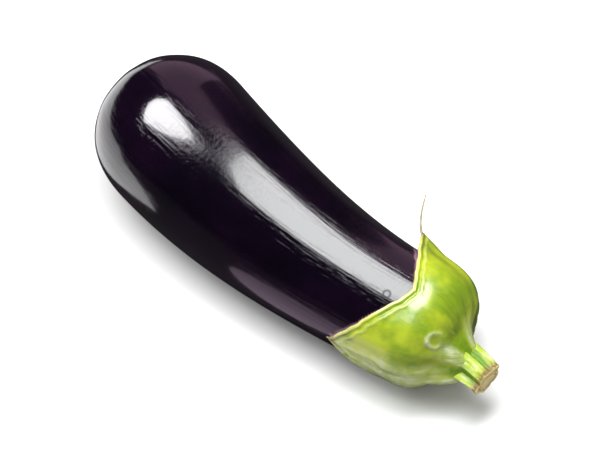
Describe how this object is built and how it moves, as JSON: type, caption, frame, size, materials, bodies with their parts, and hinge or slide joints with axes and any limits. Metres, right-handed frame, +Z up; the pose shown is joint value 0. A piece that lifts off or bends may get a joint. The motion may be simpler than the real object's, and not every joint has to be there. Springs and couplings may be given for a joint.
{
  "type": "eggplant",
  "caption": "Whole dark purple eggplant as picked, lying on its side: glossy fruit, green pointed cap and a short cut stem.",
  "frame": {"origin": "on the table, in the middle of the small flat spot under the bulb that the fruit rests on", "axes": "+X along the fruit from its blossom end to its stem, +Z up, +Y level and square to both"},
  "size_m": [0.203, 0.0703, 0.0689],
  "materials": {
    "skin": "very glossy dark purple skin, nearly black; stands for natural waxy skin",
    "cap_green": "satin yellow-green leathery cap with a pale edge; stands for green plant tissue",
    "stem_green": "ridged green stem with a dry beige cut; stands for green plant tissue"
  },
  "bodies": {
    "root": {"fruit": "skin", "calyx": "cap_green", "stem": "stem_green"}
  },
  "joints": []
}
